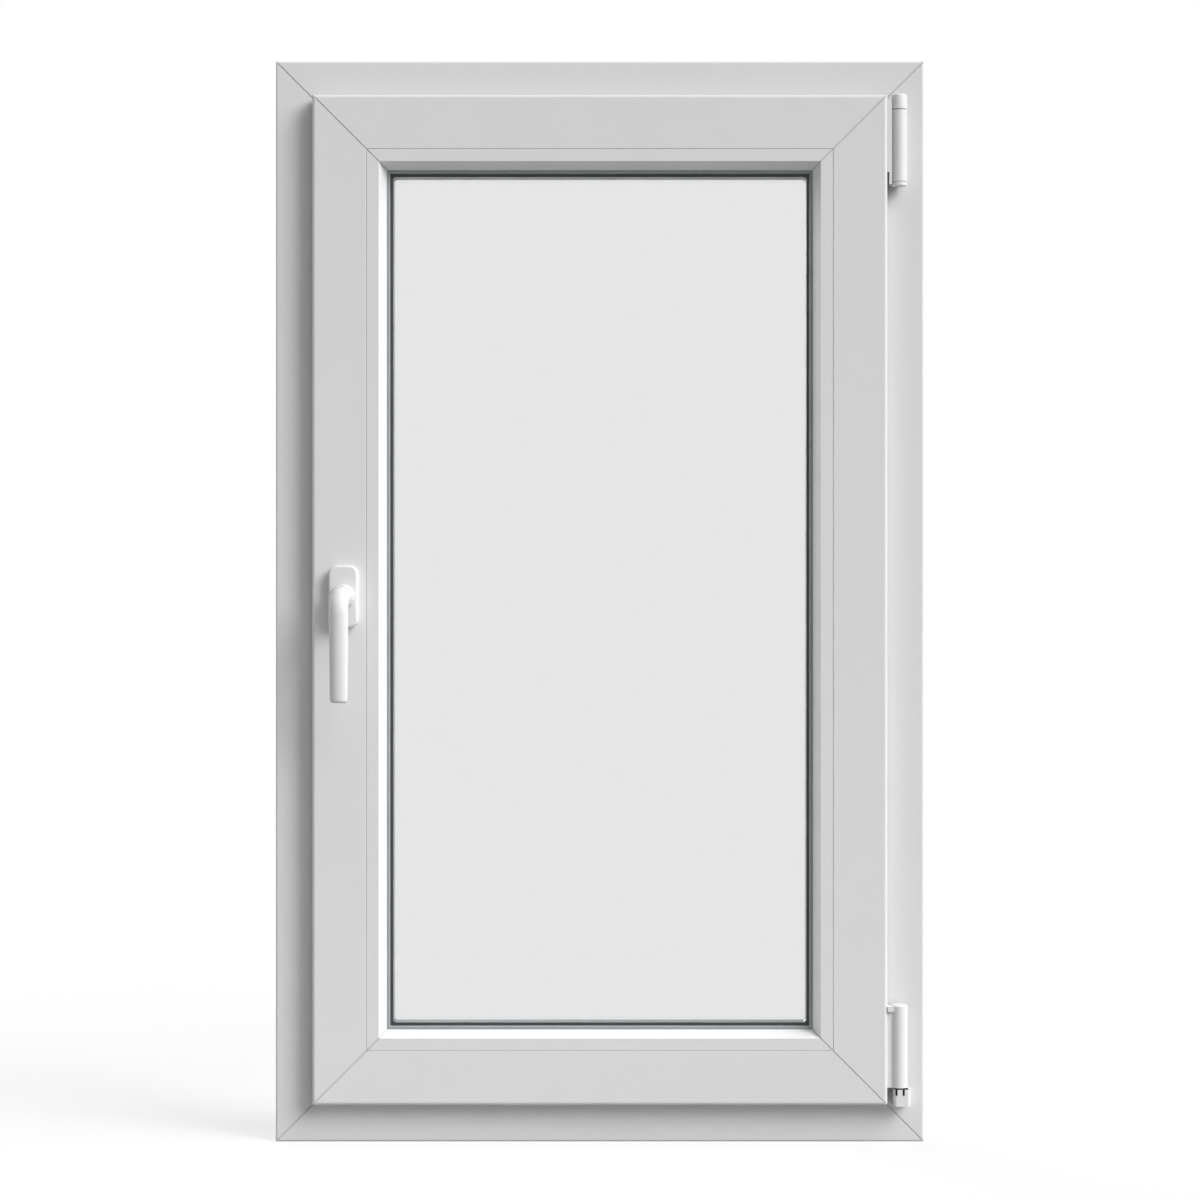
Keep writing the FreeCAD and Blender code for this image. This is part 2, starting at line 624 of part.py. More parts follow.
def build_setting_blocks():
    # Blocks that carry the glass unit on the bottom rail's rebate floor.
    unit_depth = "(2 * sizes.pane_thickness + sizes.cavity_width)"
    glass_side = f"({SASH_WIDTH} / 2 - {GLASS_MARGIN})"
    starts = (
        ("setting_block_left", f"(sizes.block_margin - {glass_side})"),
        ("setting_block_right", f"({glass_side} - sizes.block_margin - sizes.block_length)"),
    )
    blocks = []
    for name, start in starts:
        block = doc.addObject("Part::Box", name)
        block.Label = name
        block.setExpression("Length", "sizes.block_length")
        block.setExpression("Width", unit_depth)
        block.setExpression("Height", "sizes.glass_gap")
        place(block, start, f"({SASH_FRONT} + {INNER_PANE})", f"({SASH_BOTTOM} + sizes.sash_face)")
        blocks.append(block)
    return blocks


# Lever handle

def build_rosette(axis_x, axis_z):
    body = new_body("handle_rosette")
    sketch = new_sketch(body, "outline", "XZ_Plane")
    half_width, half_height = "(sizes.rosette_width / 2)", "(sizes.rosette_height / 2)"
    rectangle(sketch, f"(0 - {half_width})", f"(0 - {half_height})", half_width, half_height)
    pad(body, sketch, "sizes.rosette_thickness")
    corners = corner_edges(body.Shape, worth(half_width), worth(half_height))
    round_edges(body, corners, "sizes.rosette_corner_radius")
    front = -worth("sizes.rosette_thickness")
    rim = edges_where(body.Shape, lambda edge: all(abs(v.Point.y - front) < NEAR for v in edge.Vertexes))
    bevel_edges(body, rim, "sizes.rosette_edge_bevel")
    place(body, axis_x, SASH_FRONT, axis_z)
    return body


def lever_section(body, name, out, down, turn, half_width, half_depth):
    # One section across the lever's middle line: how far out of the base, how far down, and its turn.
    sketch = new_sketch(body, name, "XZ_Plane")
    sketch.AttachmentOffset = FreeCAD.Placement(
        FreeCAD.Vector(0, -worth(down), worth(out)), FreeCAD.Rotation(FreeCAD.Vector(1, 0, 0), turn)
    )
    sketch.setExpression("AttachmentOffset.Base.y", f"0 - {down}")
    sketch.setExpression("AttachmentOffset.Base.z", out)
    oval(sketch, half_width, half_depth)
    return sketch


def lever_stations():
    # Sections along the lever: name, out, down, turn, half width, half depth.
    # The neck comes out of the collar, turns down round the elbow and thins out along the grip.
    stations = [("neck", "0", "0", 0, "sizes.elbow_half_width", "sizes.elbow_half_depth")]
    for step in range(ELBOW_STEPS + 1):
        angle = 90 * step / ELBOW_STEPS
        out = f"(sizes.neck_straight + sizes.elbow_radius * sin({angle}))"
        down = f"(sizes.elbow_radius * (1 - cos({angle})))"
        thinning = f"(sizes.elbow_half_depth - sizes.grip_top_half_depth) * {step} / {ELBOW_STEPS}"
        half_depth = f"(sizes.elbow_half_depth - {thinning})"
        stations.append((f"elbow_{step}", out, down, angle, "sizes.elbow_half_width", half_depth))
    stations.append((
        "grip_middle", LEVER_REACH, "((sizes.elbow_radius + sizes.grip_length) / 2)", 90,
        "sizes.grip_middle_half_width", "sizes.grip_middle_half_depth",
    ))
    for angle in (0, 60, 90):
        drop = f"(sizes.grip_end_radius * (1 - sin({angle})))"
        tuck = f"sizes.grip_end_radius * (1 - cos({angle}))"
        stations.append((
            f"grip_end_{angle}", LEVER_REACH, f"(sizes.grip_length - {drop})", 90,
            f"(sizes.grip_end_half_width - {tuck})", f"(sizes.grip_end_half_depth - {tuck})",
        ))
    return stations


def build_lever(axis_x, axis_z):
    body = new_body("handle_lever")
    collar = new_sketch(body, "collar", "XZ_Plane")
    circle(collar, "0", "0", "sizes.collar_radius")
    pad(body, collar, "sizes.collar_height")
    sections = [lever_section(body, *station) for station in lever_stations()]
    doc.recompute()
    sweep = body.newObject("PartDesign::AdditiveLoft", "lever_sweep")
    sweep.Profile = sections[0]
    sweep.Sections = sections[1:]
    sweep.Ruled = True
    doc.recompute()
    place(body, axis_x, f"({SASH_FRONT} - sizes.rosette_thickness)", axis_z)
    return body


def build_handle():
    axis_x = f"(sizes.handle_offset - {SASH_SIDE})"
    axis_z = f"({SASH_MIDDLE} + sizes.handle_rise)"
    return [build_rosette(axis_x, axis_z), build_lever(axis_x, axis_z)]


# Hinges on the right side

def barrel(name, radius, height, bevelled_top=False):
    # An upright hinge barrel about its own axis, with its foot at Z = 0.
    body = new_body(name)
    sketch = new_sketch(body, "round", "XY_Plane")
    circle(sketch, "0", "0", radius)
    pad(body, sketch, height)
    if bevelled_top:
        crown = worth(height)
        rim = edges_where(body.Shape, lambda edge: all(abs(v.Point.z - crown) < NEAR for v in edge.Vertexes))
        bevel_edges(body, rim, "sizes.cap_edge_bevel")
    return body


def bore_hole(body, radius, depth, from_top=None):
    # The pin's bore, up from the foot or down from the top.
    sketch = new_sketch(body, "bore", "XY_Plane")
    circle(sketch, "0", "0", radius)
    if from_top is not None:
        sketch.AttachmentOffset = FreeCAD.Placement(FreeCAD.Vector(0, 0, worth(from_top)), FreeCAD.Rotation())
        sketch.setExpression("AttachmentOffset.Base.z", from_top)
    pocket(body, sketch, depth, turned=from_top is None)


def groove_seam(body, radius, base):
    # A fine groove round a barrel, from a height upwards.
    sketch = new_sketch(body, "seam", "XY_Plane")
    sketch.AttachmentOffset = FreeCAD.Placement(FreeCAD.Vector(0, 0, worth(base)), FreeCAD.Rotation())
    sketch.setExpression("AttachmentOffset.Base.z", base)
    circle(sketch, "0", "0", f"(2 * {radius})")
    circle(sketch, "0", "0", f"({radius} - sizes.top_seam)")
    pocket(body, sketch, "sizes.top_seam", turned=True)


def build_top_hinge():
    axis = (HINGE_X, HINGE_Y)
    cap_base = "(sizes.window_height - sizes.top_hinge_drop - sizes.top_cap_height)"
    bearing_base = f"({cap_base} - sizes.top_bearing_height)"
    ring_base = f"({bearing_base} - sizes.top_ring_height)"
    bearing = barrel("hinge_top_bearing", "sizes.top_barrel_radius", "sizes.top_bearing_height")
    leg = new_sketch(bearing, "leg", "XY_Plane")
    half_leg = "(sizes.bearing_leg_width / 2)"
    rectangle(leg, f"(0 - {half_leg})", "0", half_leg, "sizes.hinge_standoff")
    pad(bearing, leg, "sizes.top_bearing_height")
    bore_hole(bearing, "sizes.pin_radius", "sizes.top_bearing_height")
    place(bearing, *axis, bearing_base)

    foot = barrel("hinge_top_ring", "sizes.top_barrel_radius", "sizes.top_ring_height")
    bore_hole(foot, "sizes.pin_radius", "sizes.top_ring_height")
    groove_seam(foot, "sizes.top_barrel_radius", "(sizes.top_ring_height - sizes.top_seam)")
    place(foot, *axis, ring_base)

    cap = barrel("hinge_top_cap", "sizes.top_barrel_radius", "sizes.top_cap_height", bevelled_top=True)
    groove_seam(cap, "sizes.top_barrel_radius", "0")
    place(cap, *axis, cap_base)

    pin = doc.addObject("Part::Cylinder", "hinge_top_pin")
    pin.Label = "hinge_top_pin"
    pin.setExpression("Radius", "sizes.pin_radius")
    pin.setExpression("Height", "sizes.pin_tip + sizes.top_ring_height + sizes.top_bearing_height")
    place(pin, *axis, f"({ring_base} - sizes.pin_tip)")

    leaf = new_body("hinge_top_leaf")
    sketch = new_sketch(leaf, "plate", "XZ_Plane")
    barrel_height = "(sizes.top_ring_height + sizes.top_bearing_height + sizes.top_cap_height)"
    height = f"({barrel_height} - sizes.leaf_foot_margin - sizes.leaf_head_margin)"
    thickness = "(sizes.hinge_offset - sizes.top_barrel_radius)"
    notch_top = "sizes.leaf_notch_height"
    polygon(sketch, (
        ("sizes.leaf_notch_width", "0"),
        (thickness, "0"),
        (thickness, height),
        ("0", height),
        ("0", notch_top),
        ("sizes.leaf_notch_width", notch_top),
    ))
    pad(leaf, sketch, "sizes.leaf_depth", turned=True)
    place(
        leaf, SASH_SIDE, f"({SASH_FRONT} + sizes.leaf_inset)", f"({ring_base} + sizes.leaf_foot_margin)"
    )
    return [bearing, foot, cap, pin, leaf]


def build_bottom_hinge():
    axis = (HINGE_X, HINGE_Y)
    cover = barrel(
        "hinge_bottom_barrel", "sizes.bottom_barrel_radius", "sizes.bottom_barrel_height", bevelled_top=True
    )
    leaf = new_sketch(cover, "leaf", "XY_Plane")
    half_leaf = "(sizes.leaf_depth / 2)"
    rectangle(leaf, "(0 - sizes.hinge_offset)", f"(0 - {half_leaf})", "0", half_leaf)
    pad(cover, leaf, "(sizes.bottom_barrel_height - sizes.cap_edge_bevel)")
    lug = new_sketch(cover, "lug", "XZ_Plane")
    lug_top = "(sizes.bottom_barrel_height - sizes.cap_edge_bevel)"
    rectangle(
        lug, "(0 - sizes.hinge_offset)", f"({lug_top} - sizes.lug_height)",
        "(sizes.lug_width - sizes.hinge_offset)", lug_top,
    )
    pad(cover, lug, "(sizes.sash_projection - sizes.hinge_standoff)")
    bore_hole(cover, "sizes.pin_radius", "(sizes.bottom_pin_length / 2)")
    place(cover, *axis, "sizes.bottom_barrel_base")

    rest_top = "(sizes.bottom_barrel_base - sizes.rest_gap)"
    rest_height = f"({rest_top} - sizes.rest_base)"
    rest = new_body("hinge_bottom_rest")
    block = new_sketch(rest, "block", "XY_Plane")
    left = "(sizes.rest_left - sizes.hinge_offset)"
    right = f"({left} + sizes.rest_width)"
    wall = "sizes.hinge_standoff"
    front = "(sizes.hinge_standoff - sizes.rest_projection)"
    rectangle(block, left, front, right, wall)
    pad(rest, block, rest_height)
    sides = (worth(left), worth(right))
    nose = worth(front)

    def on_nose(edge):
        ends = [vertex.Point for vertex in edge.Vertexes]
        return all(
            abs(p.y - nose) < NEAR and min(abs(p.x - side) for side in sides) < NEAR for p in ends
        ) and abs(ends[0].z - ends[-1].z) > NEAR

    round_edges(rest, edges_where(rest.Shape, on_nose), "sizes.rest_edge_radius")
    slots = new_sketch(rest, "slots", "XY_Plane")
    slots.AttachmentOffset = FreeCAD.Placement(FreeCAD.Vector(0, 0, worth(rest_height)), FreeCAD.Rotation())
    slots.setExpression("AttachmentOffset.Base.z", rest_height)
    for side in ("-", ""):
        centre = f"{side}(sizes.rest_slot_spread / 2)"
        rectangle(
            slots, f"({centre} - sizes.rest_slot_width / 2)", f"({front} - 1)",
            f"({centre} + sizes.rest_slot_width / 2)", "(0 - sizes.pin_radius - 1)",
        )
    pocket(rest, slots, "sizes.rest_slot_depth")
    pin_sink = "(sizes.bottom_pin_length / 2 - sizes.rest_gap)"
    bore_hole(rest, "sizes.pin_radius", pin_sink, from_top=rest_height)
    place(rest, *axis, "sizes.rest_base")

    pin = doc.addObject("Part::Cylinder", "hinge_bottom_pin")
    pin.Label = "hinge_bottom_pin"
    pin.setExpression("Radius", "sizes.pin_radius")
    pin.setExpression("Height", "sizes.bottom_pin_length")
    place(pin, *axis, "(sizes.bottom_barrel_base - sizes.bottom_pin_length / 2)")
    return [cover, rest, pin]


# Drain caps outside

def build_drain_caps():
    caps = []
    for name, side in (("drain_cap_left", "-"), ("drain_cap_right", "")):
        body = new_body(name)
        sketch = new_sketch(body, "hood", "YZ_Plane")
        polygon(sketch, (
            ("0", "0"),
            ("sizes.drain_cap_depth", "0"),
            ("sizes.drain_cap_depth", "(sizes.drain_cap_height - sizes.drain_cap_depth)"),
            ("0", "sizes.drain_cap_height"),
        ))
        pad(body, sketch, "sizes.drain_cap_width", symmetric=True)
        hollow = new_sketch(body, "hollow", "XY_Plane")
        half = "(sizes.drain_cap_width / 2 - sizes.drain_cap_wall)"
        rectangle(
            hollow, f"(0 - {half})", "0", half, "(sizes.drain_cap_depth - sizes.drain_cap_wall)"
        )
        pocket(body, hollow, "(sizes.drain_cap_height - sizes.drain_cap_depth)", turned=True)
        place(body, f"{side}(sizes.drain_cap_spacing / 2)", FRAME_BACK, "sizes.drain_cap_rise")
        caps.append(body)
    return caps


def check_document():
    for item in doc.Objects:
        if "Invalid" in item.State or "Error" in item.State:
            raise RuntimeError(f"{item.Name} is {item.State}")


profiles = build_profiles()
add_drain_slots(profiles[0])
pieces = profiles + build_glass() + build_seals() + build_setting_blocks()
pieces += build_handle() + build_top_hinge() + build_bottom_hinge() + build_drain_caps()
doc.recompute()
check_document()
for piece in pieces:
    if piece.Shape.isNull() or not piece.Shape.isValid():
        raise RuntimeError(f"{piece.Label} has no valid shape")

os.makedirs("parts", exist_ok=True)
for piece in pieces:
    piece.Shape.exportStep(os.path.join("parts", f"{piece.Label}.step"))
print(len(pieces), "pieces written")
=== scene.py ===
from math import cos, pi, radians, sin

import bpy
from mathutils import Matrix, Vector


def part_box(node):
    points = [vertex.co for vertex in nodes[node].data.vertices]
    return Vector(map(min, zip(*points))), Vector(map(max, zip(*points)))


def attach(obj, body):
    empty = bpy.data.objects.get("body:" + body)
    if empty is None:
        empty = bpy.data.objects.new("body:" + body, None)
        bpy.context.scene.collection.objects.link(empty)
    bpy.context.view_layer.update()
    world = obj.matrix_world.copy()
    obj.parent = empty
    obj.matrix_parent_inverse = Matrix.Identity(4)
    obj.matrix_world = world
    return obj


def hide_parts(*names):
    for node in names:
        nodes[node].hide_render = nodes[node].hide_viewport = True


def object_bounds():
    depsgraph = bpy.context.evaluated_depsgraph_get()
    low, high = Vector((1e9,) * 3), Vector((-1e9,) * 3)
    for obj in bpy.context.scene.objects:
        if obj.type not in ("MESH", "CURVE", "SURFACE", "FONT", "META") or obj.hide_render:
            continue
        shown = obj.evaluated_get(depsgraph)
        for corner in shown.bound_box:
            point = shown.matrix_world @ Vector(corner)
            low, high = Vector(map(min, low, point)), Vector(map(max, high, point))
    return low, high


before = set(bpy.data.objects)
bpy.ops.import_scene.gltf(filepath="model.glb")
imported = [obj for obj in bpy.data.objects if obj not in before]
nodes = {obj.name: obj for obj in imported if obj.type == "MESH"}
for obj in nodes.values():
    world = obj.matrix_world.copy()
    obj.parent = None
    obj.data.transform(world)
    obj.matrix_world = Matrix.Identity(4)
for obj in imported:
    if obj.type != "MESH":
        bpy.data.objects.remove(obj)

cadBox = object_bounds()
scene = bpy.context.scene
scene.view_settings.view_transform = "Standard"

# How often light may bounce: enough for both panes, and no more, to keep renders quick.
lightPaths = {"max_bounces": 8, "diffuse_bounces": 2, "glossy_bounces": 2, "transmission_bounces": 8}
for pathName, limit in lightPaths.items():
    setattr(scene.cycles, pathName, limit)

windowMiddle = (cadBox[0] + cadBox[1]) / 2
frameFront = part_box("frame_sill")[0].y      # the frame's room face


# Camera: straight in front, at the height of the window's middle

viewSettings = {
    "distanceToFrame": 2.4,
    "eyeHeight": 0.5013,
    "sideways": 0.0002,
    "lens": 77.8,
    "farthest": 60,
}


def placeCamera():
    lens = bpy.data.cameras.new("roomView")
    lens.lens = viewSettings["lens"]
    lens.clip_end = viewSettings["farthest"]
    camera = bpy.data.objects.new("roomView", lens)
    scene.collection.objects.link(camera)
    camera.location = (
        viewSettings["sideways"], frameFront - viewSettings["distanceToFrame"], viewSettings["eyeHeight"]
    )
    camera.rotation_euler = (radians(90), 0, 0)
    scene.camera = camera


placeCamera()
print("camera placed")


# Node helpers

def addNode(tree, kind, **values):
    node = tree.nodes.new(kind)
    for name, value in values.items():
        setattr(node, name, value)
    return node


def join(tree, source, target):
    tree.links.new(source, target)


def mathStep(tree, operation, first, second=None, clamp=False):
    # One sum: each side is a socket or a number.
    step = addNode(tree, "ShaderNodeMath", operation=operation, use_clamp=clamp)
    for slot, value in enumerate((first, second)):
        if value is None:
            continue
        if isinstance(value, (int, float)):
            step.inputs[slot].default_value = value
        else:
            join(tree, value, step.inputs[slot])
    return step.outputs[0]


def mixColours(tree, share, first, second):
    mix = addNode(tree, "ShaderNodeMix", data_type="RGBA")
    for socket, value in ((mix.inputs[0], share), (mix.inputs[6], first), (mix.inputs[7], second)):
        if isinstance(value, bpy.types.NodeSocket):
            join(tree, value, socket)
        else:
            socket.default_value = value
    return mix.outputs[2]


def newGroup(name, inputs, outputs):
    # inputs: label, socket kind, default; outputs: label, socket kind.
    group = bpy.data.node_groups.new(name, "ShaderNodeTree")
    for label, kind, default in inputs:
        group.interface.new_socket(name=label, in_out="INPUT", socket_type=kind).default_value = default
    for label, kind in outputs:
        group.interface.new_socket(name=label, in_out="OUTPUT", socket_type=kind)
    return group, addNode(group, "NodeGroupInput"), addNode(group, "NodeGroupOutput")


def useGroup(tree, group, **values):
    node = addNode(tree, "ShaderNodeGroup", node_tree=group)
    for label, value in values.items():
        socket = node.inputs[label.replace("_", " ")]
        if isinstance(value, bpy.types.NodeSocket):
            join(tree, value, socket)
        else:
            socket.default_value = value
    return node


def colour(red, green, blue):
    return (red, green, blue, 1)


def seenDirectly(tree):
    # 1 for what the camera, a reflection or the view through glass meets, 0 for what only gives light.
    path = addNode(tree, "ShaderNodeLightPath")
    seen = mathStep(tree, "ADD", path.outputs["Is Camera Ray"], path.outputs["Is Glossy Ray"])
    return mathStep(tree, "ADD", seen, path.outputs["Is Transmission Ray"], clamp=True)


# Effects shared by the materials

def makeCloudyTone():
    # Soft clouds of a slightly darker tone, as light plastic and paint show.
    group, start, end = newGroup(
        "cloudyTone",
        (("Colour", "NodeSocketColor", colour(0.8, 0.8, 0.8)), ("Clouds", "NodeSocketFloat", 12.0),
         ("Depth", "NodeSocketFloat", 0.03)),
        (("Colour", "NodeSocketColor"), ("Mask", "NodeSocketFloat")),
    )
    place = addNode(group, "ShaderNodeTexCoord")
    noise = addNode(group, "ShaderNodeTexNoise")
    noise.inputs["Detail"].default_value = 4
    noise.inputs["Roughness"].default_value = 0.55
    join(group, place.outputs["Object"], noise.inputs["Vector"])
    join(group, start.outputs["Clouds"], noise.inputs["Scale"])
    spread = addNode(group, "ShaderNodeMapRange")
    spread.inputs["From Min"].default_value = 0.3
    spread.inputs["From Max"].default_value = 0.7
    join(group, noise.outputs[0], spread.inputs["Value"])
    share = mathStep(group, "MULTIPLY", spread.outputs["Result"], start.outputs["Depth"])
    join(group, mixColours(group, share, start.outputs["Colour"], colour(0, 0, 0)), end.inputs["Colour"])
    join(group, spread.outputs["Result"], end.inputs["Mask"])
    return group


def makeDrawnLines():
    # Faint lines that the extrusion leaves along a bar. Stretch is small along the bar and large across it.
    group, start, end = newGroup(
        "drawnLines",
        (("Stretch", "NodeSocketVector", (1.0, 300.0, 300.0)),),
        (("Height", "NodeSocketFloat"),),
    )
    place = addNode(group, "ShaderNodeTexCoord")
    stretch = addNode(group, "ShaderNodeVectorMath", operation="MULTIPLY")
    join(group, place.outputs["Object"], stretch.inputs[0])
    join(group, start.outputs["Stretch"], stretch.inputs[1])
    lines = addNode(group, "ShaderNodeTexNoise")
    lines.inputs["Scale"].default_value = 1
    lines.inputs["Detail"].default_value = 3
    join(group, stretch.outputs[0], lines.inputs["Vector"])
    join(group, lines.outputs[0], end.inputs["Height"])
    return group


def makeMouldedSkin():
    # The fine pebbled skin of moulded or powder coated pieces.
    group, start, end = newGroup(
        "mouldedSkin",
        (("Grain", "NodeSocketFloat", 900.0), ("Waves", "NodeSocketFloat", 60.0)),
        (("Height", "NodeSocketFloat"), ("Mask", "NodeSocketFloat")),
    )
    place = addNode(group, "ShaderNodeTexCoord")
    grain = addNode(group, "ShaderNodeTexNoise")
    grain.inputs["Detail"].default_value = 2
    join(group, place.outputs["Object"], grain.inputs["Vector"])
    join(group, start.outputs["Grain"], grain.inputs["Scale"])
    waves = addNode(group, "ShaderNodeTexNoise")
    join(group, place.outputs["Object"], waves.inputs["Vector"])
    join(group, start.outputs["Waves"], waves.inputs["Scale"])
    join(group, mathStep(group, "ADD", grain.outputs[0], waves.outputs[0]), end.inputs["Height"])
    join(group, waves.outputs[0], end.inputs["Mask"])
    return group


def makeRestingDust():
    # Dust that settles on faces turned upwards, broken up by noise.
    group, start, end = newGroup(
        "restingDust",
        (("Colour", "NodeSocketColor", colour(0.8, 0.8, 0.8)),
         ("Dust", "NodeSocketColor", colour(0.5, 0.48, 0.45)),
         ("Amount", "NodeSocketFloat", 0.2)),
        (("Colour", "NodeSocketColor"), ("Mask", "NodeSocketFloat")),
    )
    shape = addNode(group, "ShaderNodeNewGeometry")
    split = addNode(group, "ShaderNodeSeparateXYZ")
    join(group, shape.outputs["Normal"], split.inputs[0])
    upward = addNode(group, "ShaderNodeMapRange")
    upward.inputs["From Min"].default_value = 0.75
    upward.inputs["From Max"].default_value = 1.0
    join(group, split.outputs["Z"], upward.inputs["Value"])
    place = addNode(group, "ShaderNodeTexCoord")
    noise = addNode(group, "ShaderNodeTexNoise")
    noise.inputs["Scale"].default_value = 45
    noise.inputs["Detail"].default_value = 6
    join(group, place.outputs["Object"], noise.inputs["Vector"])
    broken = mathStep(group, "MULTIPLY", upward.outputs["Result"], noise.outputs[0])
    share = mathStep(group, "MULTIPLY", broken, start.outputs["Amount"], clamp=True)
    dusty = mixColours(group, share, start.outputs["Colour"], start.outputs["Dust"])
    join(group, dusty, end.inputs["Colour"])
    join(group, share, end.inputs["Mask"])
    return group


def makeWeldSeamShade():
    # The cleaned weld where four bars of one rectangle meet at 45 degrees, as a fine grey line: painted
    # shade standing for the darkness of the weld groove.
    group, start, end = newGroup(
        "weldSeamShade",
        (("Colour", "NodeSocketColor", colour(0.8, 0.8, 0.8)),
         ("Seam", "NodeSocketColor", colour(0.4, 0.4, 0.4)),
         ("Half Width", "NodeSocketFloat", 0.3),
         ("Bottom", "NodeSocketFloat", 0.0),
         ("Top", "NodeSocketFloat", 1.0),
         ("Line", "NodeSocketFloat", 0.0004),
         ("Amount", "NodeSocketFloat", 0.5)),
        (("Colour", "NodeSocketColor"), ("Mask", "NodeSocketFloat")),
    )
    place = addNode(group, "ShaderNodeTexCoord")
    split = addNode(group, "ShaderNodeSeparateXYZ")
    join(group, place.outputs["Object"], split.inputs[0])
    across = mathStep(group, "ABSOLUTE", split.outputs["X"])
    inward = mathStep(group, "SUBTRACT", start.outputs["Half Width"], across)
    fromBottom = mathStep(group, "SUBTRACT", split.outputs["Z"], start.outputs["Bottom"])
    fromTop = mathStep(group, "SUBTRACT", start.outputs["Top"], split.outputs["Z"])
    upward = mathStep(group, "MINIMUM", fromBottom, fromTop)
    apart = mathStep(group, "ABSOLUTE", mathStep(group, "SUBTRACT", inward, upward))
    fade = addNode(group, "ShaderNodeMapRange")
    fade.inputs["To Min"].default_value = 1
    fade.inputs["To Max"].default_value = 0
    join(group, apart, fade.inputs["Value"])
    join(group, start.outputs["Line"], fade.inputs["From Max"])
    share = mathStep(group, "MULTIPLY", fade.outputs["Result"], start.outputs["Amount"], clamp=True)
    seamed = mixColours(group, share, start.outputs["Colour"], start.outputs["Seam"])
    join(group, seamed, end.inputs["Colour"])
    join(group, fade.outputs["Result"], end.inputs["Mask"])
    return group


cloudyTone = makeCloudyTone()
drawnLines = makeDrawnLines()
mouldedSkin = makeMouldedSkin()
restingDust = makeRestingDust()
weldSeamShade = makeWeldSeamShade()
print("shared effects ready")


# Materials

def newMaterial(name, **plain):
    # A material with its shader and the values that are the same all over.
    material = bpy.data.materials.new(name)
    material.use_nodes = True
    tree = material.node_tree
    shader = tree.nodes["Principled BSDF"]
    for label, value in plain.items():
        shader.inputs[label.replace("_", " ")].default_value = value
    return material, tree, shader


def spreadValue(tree, mask, low, high):
    # A value that runs from low to high with the mask.
    spread = addNode(tree, "ShaderNodeMapRange")
    spread.inputs["To Min"].default_value = low
    spread.inputs["To Max"].default_value = high
    join(tree, mask, spread.inputs["Value"])
    return spread.outputs["Result"]


def addBump(tree, shader, height, depth):
    bump = addNode(tree, "ShaderNodeBump")
    bump.inputs["Strength"].default_value = 1
    bump.inputs["Distance"].default_value = depth
    join(tree, height, bump.inputs["Height"])
    join(tree, bump.outputs["Normal"], shader.inputs["Normal"])


profileLook = {
    "white": colour(0.785, 0.786, 0.788),
    "cloudSize": 9.0,
    "cloudDepth": 0.018,
    "dust": colour(0.55, 0.54, 0.52),
    "dustAmount": 0.12,
    # the weld line's grey is painted shade of the weld groove
    "seam": colour(0.3, 0.3, 0.31),
    "seamLine": 0.0007,
    "seamAmount": 0.5,
    "seamDepth": 30.0,      # in line depths
    "roughLow": 0.34,
    "roughHigh": 0.46,
    "lineDepth": 0.00001,
    "alongStretch": 0.8,
    "acrossStretch": 420.0,
}


def makeProfilePlastic(name, upright, low, high):
    # White extruded plastic with its lines along the bar. low and high are corners of the welded rectangle.
    look = profileLook
    material, tree, shader = newMaterial(name, IOR=1.46, Specular_IOR_Level=0.3)
    tone = useGroup(
        tree, cloudyTone, Colour=look["white"], Clouds=look["cloudSize"], Depth=look["cloudDepth"]
    )
    dusty = useGroup(
        tree, restingDust, Colour=tone.outputs["Colour"], Dust=look["dust"], Amount=look["dustAmount"]
    )
    seamed = useGroup(
        tree, weldSeamShade, Colour=dusty.outputs["Colour"], Seam=look["seam"], Half_Width=high.x, Bottom=low.z,
        Top=high.z, Line=look["seamLine"], Amount=look["seamAmount"],
    )
    join(tree, seamed.outputs["Colour"], shader.inputs["Base Color"])
    join(
        tree, spreadValue(tree, tone.outputs["Mask"], look["roughLow"], look["roughHigh"]),
        shader.inputs["Roughness"],
    )
    across, along = look["acrossStretch"], look["alongStretch"]
    stretch = (across, across, along) if upright else (along, across, across)
    lines = useGroup(tree, drawnLines, Stretch=stretch)
    sunk = mathStep(tree, "MULTIPLY", seamed.outputs["Mask"], look["seamDepth"])
    addBump(tree, shader, mathStep(tree, "SUBTRACT", lines.outputs["Height"], sunk), look["lineDepth"])
    return material


fittingLook = {
    "white": colour(0.775, 0.777, 0.781),
    "cloudSize": 30.0,
    "cloudDepth": 0.012,
    "roughLow": 0.42,
    "roughHigh": 0.54,
    "skinGrain": 1400.0,
    "skinWaves": 90.0,
    "skinDepth": 0.00001,
    # near black colour for painted shade in a recess
    "recessShade": colour(0.03, 0.03, 0.032),
}


def insideBox(tree, low, high):
    # 1 between two corners, 0 outside them.
    place = addNode(tree, "ShaderNodeTexCoord")
    split = addNode(tree, "ShaderNodeSeparateXYZ")
    join(tree, place.outputs["Object"], split.inputs[0])
    mask = 1
    for axis, least, most in zip(split.outputs, low, high):
        mask = mathStep(tree, "MULTIPLY", mathStep(tree, "GREATER_THAN", axis, least), mask)
        mask = mathStep(tree, "MULTIPLY", mathStep(tree, "LESS_THAN", axis, most), mask)
    return mask


def makeFittingWhite(name, look, shadedBox=None):
    # Powder coated or moulded white fittings. The optional third argument holds the corners of a place
    # painted near black as shade.
    material, tree, shader = newMaterial(name, IOR=1.48, Specular_IOR_Level=0.35)
    tone = useGroup(
        tree, cloudyTone, Colour=look["white"], Clouds=look["cloudSize"], Depth=look["cloudDepth"]
    )
    shade = tone.outputs["Colour"]
    if shadedBox:
        shade = mixColours(tree, insideBox(tree, *shadedBox), shade, look["recessShade"])
    join(tree, shade, shader.inputs["Base Color"])
    skin = useGroup(tree, mouldedSkin, Grain=look["skinGrain"], Waves=look["skinWaves"])
    join(
        tree, spreadValue(tree, skin.outputs["Mask"], look["roughLow"], look["roughHigh"]),
        shader.inputs["Roughness"],
    )
    addBump(tree, shader, skin.outputs["Height"], look["skinDepth"])
    return material


